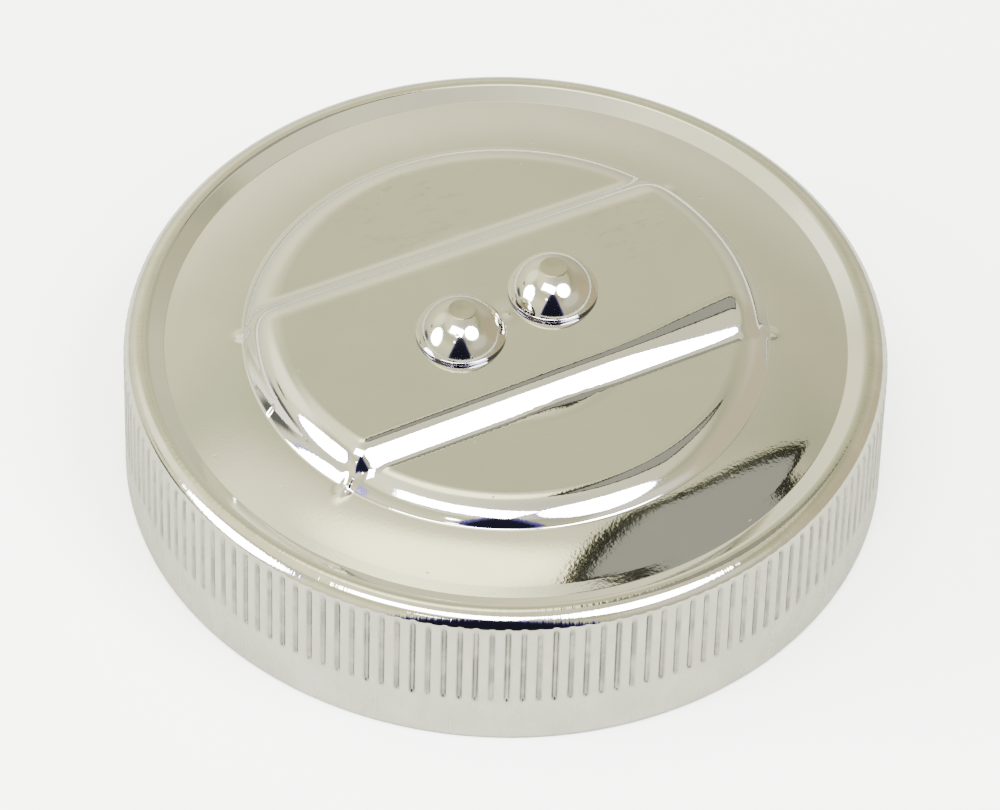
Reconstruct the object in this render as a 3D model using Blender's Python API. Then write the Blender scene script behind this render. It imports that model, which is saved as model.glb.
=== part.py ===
"""Pressed chrome filler cap with a riveted bayonet lock bar, a sprung seal plate and a small breather valve.

The frame stands at the middle of the skirt's bottom edge: +Z up through the crown, +X along the raised
grip bar. The seal plate slides up the two rivet sleeves against the star spring, and the breather's disc
slides down inside its cage. All lengths are in metres.
"""
import math

import bmesh
import bpy

# Driving dimensions of the pressed cover.
CAP_R = 0.0400            # outside radius of the skirt
SHEET = 0.0008            # thickness of the pressed sheet
GAP = 0.0003              # clearance kept between neighbouring pieces
RIM_TOP_Z = 0.0178        # crown of the rolled rim
EDGE_R = 0.0028           # radius of the rolled outer edge
BEAD_IN_R = 0.0364        # inner shoulder of the rolled rim
BEAD_IN_Z = 0.0174
GROOVE_R = 0.03575        # bottom of the groove inside the rim
GROOVE_Z = 0.0165
PAN_R = 0.0345            # outer edge of the sloping pan
PAN_Z = 0.01725
BOSS_CREST_R = 0.0238     # edge of the boss's flat top
BOSS_ROUND_R = 0.00475    # rounding from that edge down to the pan
BOSS_FOOT_TURN = 38       # where the rounding meets the pan, in degrees up from level
PLATEAU_Z = 0.01995       # height of the two flat segments
BAR_Z = 0.0216            # height of the grip bar
BAR_TOP_W = 0.0208        # width of the grip bar on top
BAR_FOOT_W = 0.0255       # width of the grip bar at the flat segments
BAR_CREST_R = 0.0233      # edge of the bar's flat top at its ends
BAR_END_ROUND_R = 0.0036  # rounding of its ends
BAR_END_TURN = 30         # where that rounding turns into a straight slope, in degrees up from level
BAR_LOW_Z = 0.01775       # bottom of the bar's ends, inside the pan's sheet
BAR_HOLLOW_LOW_Z = 0.0170
BAR_CLEAR_W = 0.0272      # width of the hollow under the flat segments
HEM_R = 0.0384            # inside of the folded hem
HEM_Z = 0.0024            # height of the folded hem

# Driving dimensions of the lock and seal stack.
SKEW = math.radians(7.5)  # turn of the rivet line away from the grip bar
RIVET_X = 0.00575         # rivets either side of the middle
SHANK_R = 0.0025
DOME_R = 0.0047
DOME_Z = 0.0252           # crown of the rivet heads
SLEEVE_TOP_R = 0.0036
SLEEVE_FOOT_R = 0.0050
SHOULDER_Z = 0.0096       # sleeve shoulder that the seal plate's grommets stop on
BAR_METAL = 0.0016        # thickness of the lock bar
LOCK_Z = 0.0035           # underside of the lock bar's middle
LUG_Z = 0.0012            # underside of its two set-down lugs
LUG_TIP_X = 0.0290
LUG_STRAIGHT_X = 0.0262   # where a lug starts to round off
LUG_ROOT_X = 0.0232
BEND_X = 0.0200           # where the lock bar starts to bend down
LOCK_HALF_W = 0.0088
LUG_HALF_W = 0.0075
WASHER_R = 0.0050
WASHER_T = 0.0010
TAIL_R = 0.0040
TAIL_LOW_Z = 0.0007
PLATE_Z = 0.0112          # underside of the seal plate
PLATE_T = 0.0010
PLATE_R = 0.0353
PLATE_LIP_Z = 0.0092      # lower edge of the plate's turned-down lip
SEAL_Z = 0.0079           # sealing face of the rubber ring
SEAL_IN_R = 0.0259
SEAL_OUT_R = 0.0340
REBATE_R = 0.0239         # inner edge of the seal's thin margin
REBATE_Z = 0.0095
RETAINER_R = 0.0230
RETAINER_T = 0.0006
GROMMET_R = 0.0054
GROMMET_NECK_R = 0.0047
SPRING_IN_R = 0.0125
SPRING_HUB_R = 0.0160
SPRING_TIP_R = 0.0305
SPRING_T = 0.0005
SPRING_BEND_R = (0.0185, 0.0215, 0.0250, 0.0275)
SPRING_PAD_R = 0.0292     # where a finger is level again
SPRING_TOP_Z = 0.0166     # where the fingers press on the cover's underside
FINGERS = 6

# Driving dimensions of the breather.
VENT_Y = 0.0155           # breather's place on the seal plate
VENT_HOLE_R = 0.0015
CAGE_R = 0.0050
CAGE_LOW_Z = 0.0059
CAGE_T = 0.0005
DISC_R = 0.0038
DISC_Z = 0.0092
DISC_T = 0.0008
COIL_R = 0.0024
COIL_WIRE_R = 0.00018
COIL_TURNS = 3

# Heights that every cutter runs between.
CUTTER_TOP_Z = 0.0500
CUTTER_LOW_Z = -0.0200

# Fineness of the round shapes.
COVER_STEPS = 72
RING_STEPS = 56
SMALL_STEPS = 28
ARC_STEPS = 5


def material(name, colour, roughness, metallic):
    """Return a Principled material of one colour."""
    mat = bpy.data.materials.new(name)
    mat.use_nodes = True
    shader = mat.node_tree.nodes["Principled BSDF"]
    shader.inputs["Base Color"].default_value = (*colour, 1.0)
    shader.inputs["Roughness"].default_value = roughness
    shader.inputs["Metallic"].default_value = metallic
    mat.diffuse_color = (*colour, 1.0)
    return mat


def arc(centre_r, centre_z, radius, start, end, steps=ARC_STEPS):
    """Return points (r, z) on an arc between two angles in degrees, both ends included."""
    points = []
    for i in range(steps + 1):
        angle = math.radians(start + (end - start) * i / steps)
        points.append((centre_r + radius * math.cos(angle), centre_z + radius * math.sin(angle)))
    return points


def place(name, mesh, mat, parent=None):
    """Link a mesh as an object with its material and its smooth shading."""
    obj = bpy.data.objects.new(name, mesh)
    bpy.context.scene.collection.objects.link(obj)
    if mat is not None:
        mesh.materials.append(mat)
    mesh.shade_smooth()
    mesh.set_sharp_from_angle(angle=math.radians(30))
    obj.parent = parent
    return obj


def mesh_from(bm, name):
    """Close a bmesh into a mesh with its faces pointing out."""
    bmesh.ops.remove_doubles(bm, verts=bm.verts, dist=1e-7)
    bmesh.ops.recalc_face_normals(bm, faces=bm.faces)
    mesh = bpy.data.meshes.new(name)
    bm.to_mesh(mesh)
    bm.free()
    return mesh


def turned(name, outline, mat, steps, parent=None, x=0.0, y=0.0):
    """Turn a closed outline of (r, z) points about a vertical axis at (x, y)."""
    bm = bmesh.new()
    verts = [bm.verts.new((r, 0.0, z)) for r, z in outline]
    edges = []
    for a, b in zip(verts, verts[1:] + verts[:1]):
        on_axis = a.co.x < 1e-9 and b.co.x < 1e-9
        if not on_axis:
            edges.append(bm.edges.new((a, b)))
    bmesh.ops.spin(bm, geom=verts + edges, cent=(0.0, 0.0, 0.0), axis=(0.0, 0.0, 1.0),
                   angle=math.tau, steps=steps, use_merge=True)
    obj = place(name, mesh_from(bm, name), mat, parent)
    obj.location = (x, y, 0.0)
    return obj


def prism(name, outline, half_length):
    """Carry an outline of (y, z) points along X, from -half_length to +half_length."""
    bm = bmesh.new()
    verts = [bm.verts.new((-half_length, y, z)) for y, z in outline]
    face = bm.faces.new(verts)
    grown = bmesh.ops.extrude_face_region(bm, geom=[face])
    moved = [item for item in grown["geom"] if isinstance(item, bmesh.types.BMVert)]
    bmesh.ops.translate(bm, verts=moved, vec=(2.0 * half_length, 0.0, 0.0))
    return place(name, mesh_from(bm, name), None)


def as_cutter(obj):
    """Keep an object as a hidden guide for Booleans."""
    obj.display_type = "WIRE"
    obj.hide_render = True
    return obj


def combine(obj, other, operation):
    """Add a Boolean of another object."""
    mod = obj.modifiers.new(other.name, "BOOLEAN")
    mod.operation = operation
    mod.object = other


def drill(obj, name, x, y, radius, parent):
    """Cut a through hole along Z."""
    outline = [(0.0, CUTTER_TOP_Z), (radius, CUTTER_TOP_Z), (radius, CUTTER_LOW_Z), (0.0, CUTTER_LOW_Z)]
    combine(obj, as_cutter(turned(name, outline, None, SMALL_STEPS, parent, x, y)), "DIFFERENCE")


def pan_outline(inset):
    """Return the cover's top from the skirt's upper end to the middle, moved inwards by inset."""
    outline = arc(CAP_R - EDGE_R, RIM_TOP_Z - EDGE_R, EDGE_R - inset, 0, 90)
    outline.append((BEAD_IN_R + inset * 0.6, BEAD_IN_Z - inset * 0.7))
    outline.append((GROOVE_R, GROOVE_Z - inset))
    outline.append((PAN_R - inset * 0.2, PAN_Z - inset))
    centre_z = PLATEAU_Z - BOSS_ROUND_R
    outline += arc(BOSS_CREST_R, centre_z, BOSS_ROUND_R - inset, BOSS_FOOT_TURN, 90, 4)
    outline.append((0.0, PLATEAU_Z - inset))
    return outline


def bar_half_width(z, inset):
    """Return the half width of the grip bar's sloping sides at height z, moved inwards by inset."""
    slope = (BAR_FOOT_W - BAR_TOP_W) / 2.0 / (BAR_Z - PLATEAU_Z)
    return BAR_TOP_W / 2.0 - inset * 0.5 + slope * (BAR_Z - inset - z)


def bar_solid(name, inset, foot):
    """Return the raised grip bar over a foot of (y, z) points, moved inwards by inset."""
    round_off = 0.0005
    top_z = BAR_Z - inset
    side = foot + [(bar_half_width(top_z - round_off, inset), top_z - round_off),
                   (bar_half_width(top_z, inset) - round_off, top_z)]
    bar = prism(name, side + [(-y, z) for y, z in reversed(side)], CAP_R)
    rounding = arc(BAR_CREST_R, BAR_Z - BAR_END_ROUND_R, BAR_END_ROUND_R - inset, 75, BAR_END_TURN, 4)
    low_r, low_end_z = rounding[-1]
    low_z = foot[0][1]
    foot_r = low_r + (low_end_z - low_z) * math.tan(math.radians(BAR_END_TURN))
    ends = [(0.0, CUTTER_TOP_Z), (BAR_CREST_R, CUTTER_TOP_Z)] + rounding
    ends += [(foot_r, low_z), (foot_r, 0.0), (0.0, 0.0)]
    combine(bar, as_cutter(turned(name + "_ends", ends, None, COVER_STEPS)), "INTERSECT")
    return as_cutter(bar)


def make_cover(mat, lock_line):
    """Make the pressed cover: skirt, rolled rim, sloping pan, boss and hollow grip bar."""
    hem = [(HEM_R, 0.0), (CAP_R - 0.0003, 0.0), (CAP_R, 0.0003)]
    inside = [(HEM_R, HEM_Z), (CAP_R - SHEET, HEM_Z + 0.0008)] + pan_outline(SHEET)
    cover = turned("cover_shell", hem + pan_outline(0.0) + inside[::-1], mat, COVER_STEPS)
    buried_z = PLATEAU_Z - SHEET * 0.6
    outer_y = bar_half_width(buried_z, 0.0)
    combine(cover, bar_solid("bar_outside", 0.0, [(outer_y, BAR_LOW_Z), (outer_y, buried_z)]), "UNION")
    hollow_z = PLATEAU_Z - SHEET - 0.00005
    wide_y = BAR_CLEAR_W / 2.0
    hollow = [(wide_y, BAR_HOLLOW_LOW_Z), (wide_y, hollow_z), (bar_half_width(hollow_z, SHEET), hollow_z)]
    combine(cover, bar_solid("bar_inside", SHEET, hollow), "DIFFERENCE")
    for side in (-1, 1):
        drill(cover, f"cover_hole_{side}", side * RIVET_X, 0.0, SHANK_R + GAP, lock_line)


def make_rivet(name, x, mat, parent):
    """Make a dome-head rivet with its set tail."""
    head_z = BAR_Z + GAP
    tail_z = LOCK_Z - 2.0 * GAP - WASHER_T
    dome = []
    for i in range(1, 7):
        angle = math.radians(90.0 * i / 6)
        dome.append((DOME_R * math.sin(angle), head_z + (DOME_Z - head_z) * math.cos(angle)))
    outline = [(0.0, DOME_Z)] + dome + [(SHANK_R, head_z), (SHANK_R, tail_z), (TAIL_R, tail_z),
                                        (TAIL_R, TAIL_LOW_Z + 0.0005), (TAIL_R - 0.0006, TAIL_LOW_Z),
                                        (0.0, TAIL_LOW_Z)]
    turned(name, outline, mat, SMALL_STEPS, parent, x)


def make_sleeve(name, x, mat, parent):
    """Make a stepped distance sleeve that runs from the lock bar up into the hollow bar."""
    low_z = LOCK_Z + BAR_METAL + GAP
    top_z = BAR_Z - SHEET - GAP
    bore = SHANK_R + GAP
    outline = [(SLEEVE_TOP_R, top_z), (SLEEVE_TOP_R, SHOULDER_Z), (SLEEVE_FOOT_R, SHOULDER_Z),
               (SLEEVE_FOOT_R, low_z), (bore, low_z), (bore, top_z)]
    turned(name, outline, mat, SMALL_STEPS, parent, x)


def make_washer(name, x, mat, parent):
    """Make the washer between the lock bar and a rivet's set tail."""
    top_z = LOCK_Z - GAP
    bore = SHANK_R + GAP
    outline = [(WASHER_R, top_z), (WASHER_R, top_z - WASHER_T), (bore, top_z - WASHER_T), (bore, top_z)]
    turned(name, outline, mat, SMALL_STEPS, parent, x)


def make_grommet(name, x, mat, parent):
    """Make the rubber grommet that seals the seal plate to a sleeve."""
    bore = SLEEVE_TOP_R + GAP
    top_z = PLATE_Z + PLATE_T + GAP
    low_z = PLATE_Z - GAP
    outline = [(GROMMET_R, top_z + 0.0008), (GROMMET_R, top_z), (GROMMET_NECK_R, top_z),
               (GROMMET_NECK_R, low_z), (GROMMET_R, low_z), (GROMMET_R, SHOULDER_Z + GAP),
               (bore, SHOULDER_Z + GAP), (bore, top_z + 0.0008)]
    turned(name, outline, mat, SMALL_STEPS, parent, x)


def make_seal_plate(mat, parent):
    """Make the flat seal plate with its turned-down lip, two sleeve holes and the breather hole."""
    top_z = PLATE_Z + PLATE_T
    lip_r = SEAL_OUT_R + GAP
    outline = [(0.0, top_z), (PLATE_R - 0.0005, top_z), (PLATE_R, top_z - 0.0005), (PLATE_R, PLATE_LIP_Z),
               (lip_r, PLATE_LIP_Z), (lip_r, PLATE_Z), (0.0, PLATE_Z)]
    plate = turned("seal_plate", outline, mat, RING_STEPS, parent)
    for side in (-1, 1):
        drill(plate, f"plate_hole_{side}", side * RIVET_X, 0.0, GROMMET_NECK_R + GAP, parent)
    drill(plate, "plate_vent_hole", 0.0, VENT_Y, VENT_HOLE_R, parent)


def make_seal(mat, retainer_mat, parent):
    """Make the rubber seal ring and the angle ring that clamps its inner margin."""
    top_z = PLATE_Z - GAP
    outline = [(SEAL_OUT_R, top_z), (SEAL_OUT_R, SEAL_Z), (SEAL_IN_R, SEAL_Z), (SEAL_IN_R, REBATE_Z),
               (REBATE_R, REBATE_Z), (REBATE_R, top_z)]
    turned("seal_ring", outline, mat, RING_STEPS, parent)
    flange_r = SEAL_IN_R - GAP
    flange_z = REBATE_Z - GAP
    wall_r = RETAINER_R + RETAINER_T
    outline = [(wall_r, top_z), (wall_r, flange_z), (flange_r, flange_z), (flange_r, flange_z - RETAINER_T),
               (RETAINER_R, flange_z - RETAINER_T), (RETAINER_R, top_z)]
    turned("seal_retainer", outline, retainer_mat, RING_STEPS, parent)


def make_star_spring(mat, parent):
    """Make the flat ring spring whose bent fingers push the seal plate away from the cover."""
    low_z = PLATE_Z + PLATE_T + GAP + SPRING_T / 2.0
    high_z = SPRING_TOP_Z - SPRING_T / 2.0
    columns = 72
    radii = [SPRING_IN_R, SPRING_HUB_R, *SPRING_BEND_R, SPRING_PAD_R, SPRING_TIP_R]
    bm = bmesh.new()
    rings = []
    for r in radii:
        reach = min(max((r - SPRING_HUB_R) / (SPRING_PAD_R - SPRING_HUB_R), 0.0), 1.0)
        z = low_z + (high_z - low_z) * (3.0 - 2.0 * reach) * reach * reach
        ring = []
        for i in range(columns):
            angle = math.tau * i / columns
            ring.append(bm.verts.new((r * math.cos(angle), r * math.sin(angle), z)))
        rings.append(ring)
    per_finger = columns // FINGERS
    for k in range(len(radii) - 1):
        for i in range(columns):
            in_finger = 1 <= i % per_finger <= 5
            if k == 0 or in_finger:
                j = (i + 1) % columns
                bm.faces.new((rings[k][i], rings[k + 1][i], rings[k + 1][j], rings[k][j]))
    loose = [v for v in bm.verts if not v.link_faces]
    bmesh.ops.delete(bm, geom=loose, context="VERTS")
    spring = place("star_spring", mesh_from(bm, "star_spring"), mat, parent)
    solid = spring.modifiers.new("thickness", "SOLIDIFY")
    solid.thickness = SPRING_T
    solid.offset = 0.0


def make_lock_bar(mat, parent):
    """Make the bayonet strap: flat in the middle, set down to a rounded lug at each end."""
    middle = LOCK_Z + BAR_METAL / 2.0
    lug = LUG_Z + BAR_METAL / 2.0
    half = [(0.0, LOCK_HALF_W, middle), (BEND_X, LOCK_HALF_W, middle), (LUG_ROOT_X, LUG_HALF_W, lug)]
    tip_run = LUG_TIP_X - LUG_STRAIGHT_X
    for i in range(4):
        turn = math.radians(90.0 * i / 3)
        x = LUG_STRAIGHT_X + tip_run * math.sin(turn)
        half.append((x, LUG_HALF_W - tip_run * (1.0 - math.cos(turn)), lug))
    stations = [(-x, w, z) for x, w, z in reversed(half[1:])] + half
    bm = bmesh.new()
    rows = []
    for x, w, z in stations:
        rows.append([bm.verts.new((x, side * w, z)) for side in (-1.0, 0.0, 1.0)])
    for a, b in zip(rows, rows[1:]):
        for i in range(2):
            bm.faces.new((a[i], b[i], b[i + 1], a[i + 1]))
    bar = place("lock_bar", mesh_from(bm, "lock_bar"), mat, parent)
    solid = bar.modifiers.new("thickness", "SOLIDIFY")
    solid.thickness = BAR_METAL
    solid.offset = 0.0
    solid.use_even_offset = True
    for side in (-1, 1):
        drill(bar, f"lock_hole_{side}", side * RIVET_X, 0.0, SHANK_R + GAP, parent)


def make_breather(cage_mat, disc_mat, rubber, wire, parent):
    """Make the breather under the seal plate: cage, disc, rubber facing and return coil."""
    top_z = PLATE_Z - GAP
    floor_z = CAGE_LOW_Z + CAGE_T
    bore = CAGE_R - CAGE_T
    outline = [(CAGE_R, top_z), (CAGE_R, CAGE_LOW_Z), (VENT_HOLE_R, CAGE_LOW_Z), (VENT_HOLE_R, floor_z),
               (bore, floor_z), (bore, top_z)]
    turned("vent_cage", outline, cage_mat, SMALL_STEPS, parent, 0.0, VENT_Y)
    disc_top = DISC_Z + DISC_T
    outline = [(0.0, disc_top), (DISC_R, disc_top), (DISC_R, DISC_Z), (COIL_R - 0.0008, DISC_Z),
               (COIL_R - 0.0008, DISC_Z - 0.0006), (0.0, DISC_Z - 0.0006)]
    turned("vent_disc", outline, disc_mat, SMALL_STEPS, parent, 0.0, VENT_Y)
    outline = [(0.0, top_z), (DISC_R - 0.0005, top_z), (DISC_R - 0.0005, disc_top + GAP), (0.0, disc_top + GAP)]
    turned("vent_seal", outline, rubber, SMALL_STEPS, parent, 0.0, VENT_Y)
    make_coil(floor_z + GAP, DISC_Z - GAP, wire, parent)


def make_coil(low_z, high_z, mat, parent):
    """Make the breather's round-wire coil between two heights."""
    per_turn = 12
    count = COIL_TURNS * per_turn
    curve = bpy.data.curves.new("vent_spring", "CURVE")
    curve.dimensions = "3D"
    curve.bevel_depth = COIL_WIRE_R
    curve.bevel_resolution = 2
    curve.use_fill_caps = True
    spline = curve.splines.new("POLY")
    spline.points.add(count)
    rise = high_z - low_z - 2.0 * COIL_WIRE_R
    for i, point in enumerate(spline.points):
        angle = math.tau * i / per_turn
        z = low_z + COIL_WIRE_R + rise * i / count
        point.co = (COIL_R * math.cos(angle), COIL_R * math.sin(angle), z, 1.0)
    curve.materials.append(mat)
    coil = bpy.data.objects.new("vent_spring", curve)
    bpy.context.scene.collection.objects.link(coil)
    coil.parent = parent
    coil.location = (0.0, VENT_Y, 0.0)


def main():
    """Build the whole cap."""
    for obj in list(bpy.data.objects):
        bpy.data.objects.remove(obj)
    chrome = material("chrome", (0.78, 0.77, 0.72), 0.07, 1.0)
    zinc = material("zinc_steel", (0.62, 0.62, 0.60), 0.35, 1.0)
    spring_steel = material("spring_steel", (0.42, 0.42, 0.43), 0.30, 1.0)
    brass = material("brass", (0.72, 0.56, 0.28), 0.30, 1.0)
    rubber = material("rubber", (0.03, 0.03, 0.03), 0.75, 0.0)

    lock_line = bpy.data.objects.new("lock_line", None)
    bpy.context.scene.collection.objects.link(lock_line)
    lock_line.rotation_euler = (0.0, 0.0, SKEW)

    make_cover(chrome, lock_line)
    for side, word in ((-1, "left"), (1, "right")):
        x = side * RIVET_X
        make_rivet(f"rivet_{word}", x, chrome, lock_line)
        make_sleeve(f"sleeve_{word}", x, zinc, lock_line)
        make_grommet(f"grommet_{word}", x, rubber, lock_line)
        make_washer(f"tail_washer_{word}", x, zinc, lock_line)
    make_star_spring(spring_steel, lock_line)
    make_seal_plate(zinc, lock_line)
    make_seal(rubber, zinc, lock_line)
    make_breather(brass, brass, rubber, spring_steel, lock_line)
    make_lock_bar(zinc, lock_line)


main()
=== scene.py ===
import math

import bpy
import numpy as np
from mathutils import Matrix, Vector


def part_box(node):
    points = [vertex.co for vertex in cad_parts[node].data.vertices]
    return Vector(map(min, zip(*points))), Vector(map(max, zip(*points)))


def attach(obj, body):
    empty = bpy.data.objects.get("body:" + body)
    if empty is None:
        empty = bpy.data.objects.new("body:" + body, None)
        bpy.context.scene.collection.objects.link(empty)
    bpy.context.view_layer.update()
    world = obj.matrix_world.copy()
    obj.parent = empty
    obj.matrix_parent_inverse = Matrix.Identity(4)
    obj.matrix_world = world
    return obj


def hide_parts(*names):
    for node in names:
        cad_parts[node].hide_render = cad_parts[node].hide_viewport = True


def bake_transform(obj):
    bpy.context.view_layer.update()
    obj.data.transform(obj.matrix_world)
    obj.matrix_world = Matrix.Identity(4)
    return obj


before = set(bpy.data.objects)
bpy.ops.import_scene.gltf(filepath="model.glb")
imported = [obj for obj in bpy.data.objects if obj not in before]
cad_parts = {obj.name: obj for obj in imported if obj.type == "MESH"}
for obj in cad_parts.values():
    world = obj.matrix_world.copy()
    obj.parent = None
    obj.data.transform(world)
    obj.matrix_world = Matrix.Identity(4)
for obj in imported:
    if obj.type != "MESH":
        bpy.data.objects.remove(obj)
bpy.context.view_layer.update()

mm = 0.001                                   # shapes are worked out in millimetres, meshes are in metres
tau = 2 * math.pi
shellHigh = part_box("cover_shell")[1]
capRadius = shellHigh.x / mm
barTop = shellHigh.z / mm
rivetBoxes = {side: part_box("rivet_" + side) for side in ("left", "right")}
rivetPlaces = {side: ((low + high) / 2 / mm) for side, (low, high) in rivetBoxes.items()}
lockTurn = math.atan2(rivetPlaces["right"].y, rivetPlaces["right"].x)
clearance = 0.3                              # left between pieces that pass through or slide past each other
print("frame loaded:", len(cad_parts), "nodes, cap radius", round(capRadius, 2), "mm")


# numbers and curves
def softMin(a, b, k):
    # the lower of a and b; where they differ by less than k, their corner is cut by (k - |a - b|)^2 / 4k
    return np.minimum(a, b) - np.clip(k - np.abs(a - b), 0, None) ** 2 / (4 * k)


def softMax(a, b, k):
    # the higher of a and b, with its corner filled by (k - |a - b|)^2 / 4k
    return np.maximum(a, b) + np.clip(k - np.abs(a - b), 0, None) ** 2 / (4 * k)


def shoulder(u, radius, slope):
    # drop at u past the edge of a flat top: an arc R - sqrt(R^2 - u^2), then straight on at the given slope
    turn = radius * slope / np.sqrt(1 + slope * slope)
    return radius - np.sqrt(radius ** 2 - np.clip(u, 0, turn) ** 2) + slope * np.clip(u - turn, 0, None)


def ramp(x, low, high):
    # smooth step: 3t^2 - 2t^3 with t = (x - low) / (high - low) held between 0 and 1
    t = np.clip((x - low) / (high - low), 0, 1)
    return t * t * (3 - 2 * t)


def stations(*spans):
    # evenly spaced values over (low, high, count) spans laid end to end, each shared end kept once
    parts = [np.linspace(*span)[:-1] for span in spans[:-1]]
    return np.concatenate(parts + [np.linspace(*spans[-1])])


def roundedLine(corners, closed=False, steps=6):
    # a line through (r, z, fillet) corners; each fillet is an arc tangent to both of its sides
    count = len(corners)
    points = []
    for i, (r, z, fillet) in enumerate(corners):
        here = np.array((r, z))
        if fillet == 0 or (not closed and i in (0, count - 1)):
            points.append(here[None, :])
            continue
        back = np.array(corners[i - 1][:2]) - here
        ahead = np.array(corners[(i + 1) % count][:2]) - here
        back = back / np.linalg.norm(back)
        ahead = ahead / np.linalg.norm(ahead)
        half = math.acos(np.clip(back @ ahead, -1, 1)) / 2
        bisector = (back + ahead) / np.linalg.norm(back + ahead)
        centre = here + bisector * fillet / math.sin(half)
        start = here + back * fillet / math.tan(half) - centre
        end = here + ahead * fillet / math.tan(half) - centre
        a0 = math.atan2(start[1], start[0])
        turn = (math.atan2(end[1], end[0]) - a0 + math.pi) % tau - math.pi
        angles = a0 + turn * np.linspace(0, 1, steps + 1)
        points.append(centre + fillet * circle(angles))
    return np.concatenate(points)


def circle(t):
    # (cos t, sin t) for each angle
    return np.stack((np.cos(t), np.sin(t)), 1)


def gridMesh(name, points, normals=None, wrapRows=False, poleStart=False, poleEnd=False):
    # quads over a rows x columns grid, columns joined round; a pole row shrinks to one vertex and a fan
    rows, columns = points.shape[:2]
    first, last = (1 if poleStart else 0), (rows - 1 if poleEnd else rows)
    body = points[first:last].reshape(-1, 3)
    index = np.arange((last - first) * columns).reshape(last - first, columns)
    below = np.roll(index, -1, 0) if wrapRows else index[1:]
    above = index if wrapRows else index[:-1]
    quads = np.stack((above, below, np.roll(below, -1, 1), np.roll(above, -1, 1)), -1).reshape(-1, 4)
    verts, corners, sizes = [body], [quads.ravel()], [np.full(len(quads), 4)]
    tip = len(body)
    if poleStart:
        fan = np.stack((np.full(columns, tip), index[0], np.roll(index[0], -1)), -1)
        verts.append(points[0, :1])
        corners.append(fan.ravel())
        sizes.append(np.full(columns, 3))
        tip += 1
    if poleEnd:
        fan = np.stack((np.full(columns, tip), np.roll(index[-1], -1), index[-1]), -1)
        verts.append(points[-1, :1])
        corners.append(fan.ravel())
        sizes.append(np.full(columns, 3))
    verts, corners, sizes = np.concatenate(verts) * mm, np.concatenate(corners), np.concatenate(sizes)
    mesh = bpy.data.meshes.new(name)
    mesh.vertices.add(len(verts))
    mesh.vertices.foreach_set("co", verts.ravel().astype(np.float32))
    mesh.loops.add(len(corners))
    mesh.loops.foreach_set("vertex_index", corners.astype(np.int32))
    mesh.polygons.add(len(sizes))
    mesh.polygons.foreach_set("loop_start", np.concatenate(([0], np.cumsum(sizes)[:-1])).astype(np.int32))
    mesh.polygons.foreach_set("use_smooth", np.ones(len(sizes), bool))
    mesh.update(calc_edges=True)
    if normals is not None:
        flat = [normals[first:last].reshape(-1, 3)]
        if poleStart:
            flat.append(normals[0, :1])
        if poleEnd:
            flat.append(normals[-1, :1])
        mesh.normals_split_custom_set_from_vertices(np.concatenate(flat))
    return mesh


def surfaceNormals(shape, s, t, step=0.01):
    # unit cross product of the two slopes of shape(s, t), each taken over a short step either side
    alongS = shape(s + step, t) - shape(s - step, t)
    alongT = shape(s, t + step / capRadius) - shape(s, t - step / capRadius)
    normal = np.cross(alongS, alongT)
    return normal / np.maximum(np.linalg.norm(normal, axis=-1, keepdims=True), 1e-12)


def newObject(name, data):
    # an object for the data, in the scene
    made = bpy.data.objects.new(name, data)
    bpy.context.scene.collection.objects.link(made)
    return made


def addPiece(name, mesh, body, material, replaced):
    # a piece in the scene with its material, body and the nodes that it replaces
    piece = newObject(name, mesh)
    mesh.materials.append(material)
    if body:
        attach(piece, body)
    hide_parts(*replaced)
    return piece


def turnedPiece(name, corners, centre, body, material, replaced, columns=128, closed=True):
    # point(s, t) = (x + r(s) cos t, y + r(s) sin t, z(s)): a rounded outline turned about an upright axis
    outline = roundedLine(corners, closed)
    t = np.arange(columns) * tau / columns
    ring = circle(t)
    points = np.empty((len(outline), columns, 3))
    points[..., :2] = np.array(centre[:2]) + outline[:, None, :1] * ring
    points[..., 2] = outline[:, None, 1]
    mesh = gridMesh(name, points, None, closed, not closed, not closed)
    mesh.set_sharp_from_angle(angle=math.radians(35))
    return addPiece(name, mesh, body, material, replaced)


# shared finishes: node groups give only colours, masks and heights
def newGroup(name, inputs, outputs):
    # an empty group with the named sockets, and its two end nodes
    group = bpy.data.node_groups.new(name, "ShaderNodeTree")
    for label, kind, value in inputs:
        socket = group.interface.new_socket(label, in_out="INPUT", socket_type=kind)
        if value is not None:
            socket.default_value = value
    for label, kind in outputs:
        group.interface.new_socket(label, in_out="OUTPUT", socket_type=kind)
    return group, group.nodes.new("NodeGroupInput"), group.nodes.new("NodeGroupOutput")


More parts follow.
